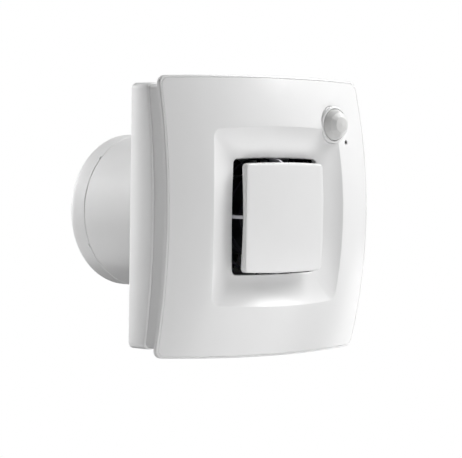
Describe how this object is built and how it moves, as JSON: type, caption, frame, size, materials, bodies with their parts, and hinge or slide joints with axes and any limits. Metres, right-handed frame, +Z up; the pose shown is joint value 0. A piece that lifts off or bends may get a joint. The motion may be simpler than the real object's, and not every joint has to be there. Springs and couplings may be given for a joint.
{
  "type": "extractor fan",
  "caption": "Square wall extractor fan with a crowned front cover, raised inlet panel, motion sensor, round duct spigot and back-draught flaps.",
  "frame": {"origin": "on the fan's axis, in the plane of the body's back face, where the spigot goes through the wall", "axes": "+X right seen from the room, +Y along the duct into the wall, +Z up; the front faces -Y"},
  "size_m": [0.1722, 0.1483, 0.173],
  "materials": {
    "cover_white": "semi-gloss moulded white plastic",
    "body_white": "satin moulded white plastic",
    "flap_white": "thin satin white plastic",
    "spoke_grey": "satin light grey plastic",
    "lens_white": "translucent white lens, faintly faceted",
    "clear_plastic": "clear moulded light pipe",
    "guard_black": "satin near-black plastic",
    "impeller_black": "satin near-black plastic",
    "steel": "bright ground steel",
    "laminated_steel": "stacked steel laminations",
    "zinc_steel": "zinc-plated steel",
    "motor_grey": "satin grey coated steel",
    "copper_wire": "enamelled copper wire",
    "board_green": "green solder mask",
    "component_blue": "blue moulded plastic",
    "component_black": "black moulded plastic",
    "component_ochre": "dipped ochre resin",
    "cable_black": "black PVC sheath",
    "clamp_white": "white nylon",
    "board_cover_white": "white moulded plastic",
    "knob_grey": "light grey nylon",
    "rubber_black": "soft black rubber"
  },
  "bodies": {
    "base": {"rear_body": "body_white", "fan_guard": "guard_black", "inlet_funnel": "guard_black", "motor_carrier": "guard_black", "carrier_screw_1": "zinc_steel", "carrier_screw_2": "zinc_steel", "carrier_screw_3": "zinc_steel", "carrier_screw_4": "zinc_steel", "rubber_mount_1": "rubber_black", "rubber_mount_2": "rubber_black", "rubber_mount_3": "rubber_black", "rubber_mount_4": "rubber_black", "motor_front_shell": "motor_grey", "motor_rear_shell": "motor_grey", "stator_core": "laminated_steel", "coil_front": "copper_wire", "coil_rear": "copper_wire", "front_bearing": "steel", "rear_bearing": "steel", "damper_ring": "body_white", "damper_pin": "steel", "control_board": "board_green", "board_screw_1": "zinc_steel", "board_screw_2": "zinc_steel", "relay": "component_blue", "film_capacitor": "component_ochre", "supply_capacitor": "component_black", "humidity_sensor": "component_black", "motor_connector": "clamp_white", "indicator_led": "clear_plastic", "timer_trimmer": "component_blue", "humidity_trimmer": "component_blue", "terminal_block": "component_black", "terminal_screw_1": "zinc_steel", "terminal_screw_2": "zinc_steel", "terminal_screw_3": "zinc_steel", "board_cover": "board_cover_white", "cable_grommet": "rubber_black", "cable_clamp": "clamp_white", "clamp_screw_1": "zinc_steel", "clamp_screw_2": "zinc_steel", "motor_lead": "cable_black", "pir_detector": "steel", "sensor_board": "board_green"},
    "cover": {"front_cover": "cover_white", "deflector_panel": "cover_white", "deflector_carrier": "spoke_grey", "sensor_collar": "cover_white", "sensor_lens": "lens_white", "light_pipe": "clear_plastic"},
    "impeller": {"motor_shaft": "steel", "rotor": "laminated_steel", "impeller": "impeller_black", "impeller_clip": "zinc_steel"},
    "flap_left": {"damper_flap_left": "flap_white", "damper_spring_left": "steel"},
    "flap_right": {"damper_flap_right": "flap_white", "damper_spring_right": "steel"},
    "timer_knob": {"timer_knob": "knob_grey"},
    "humidity_knob": {"humidity_knob": "knob_grey"}
  },
  "joints": [
    {"name": "impeller_spin", "type": "hinge", "parent": "base", "child": "impeller", "pos_m": [0, 0.017, 0], "axis": [0, 1, 0], "continuous": true},
    {"name": "cover_pull", "type": "slide", "parent": "base", "child": "cover", "axis": [0, -1, 0], "range_m": [0, 0.06]},
    {"name": "flap_left_swing", "type": "hinge", "parent": "base", "child": "flap_left", "pos_m": [0, 0.0878, 0], "axis": [0, 0, -1], "range_deg": [0, 75], "stiffness_Nm_per_rad": 0.0008, "springref_deg": -8.59, "deforming": ["damper_spring_left"]},
    {"name": "flap_right_swing", "type": "hinge", "parent": "base", "child": "flap_right", "pos_m": [0, 0.0878, 0], "axis": [0, 0, 1], "range_deg": [0, 75], "stiffness_Nm_per_rad": 0.0008, "springref_deg": -8.59, "deforming": ["damper_spring_right"]},
    {"name": "timer_turn", "type": "hinge", "parent": "base", "child": "timer_knob", "pos_m": [0.068, -0.035, -0.008], "axis": [0, -1, 0], "range_deg": [-135, 135]},
    {"name": "humidity_turn", "type": "hinge", "parent": "base", "child": "humidity_knob", "pos_m": [0.068, -0.035, -0.02], "axis": [0, -1, 0], "range_deg": [-135, 135]}
  ]
}
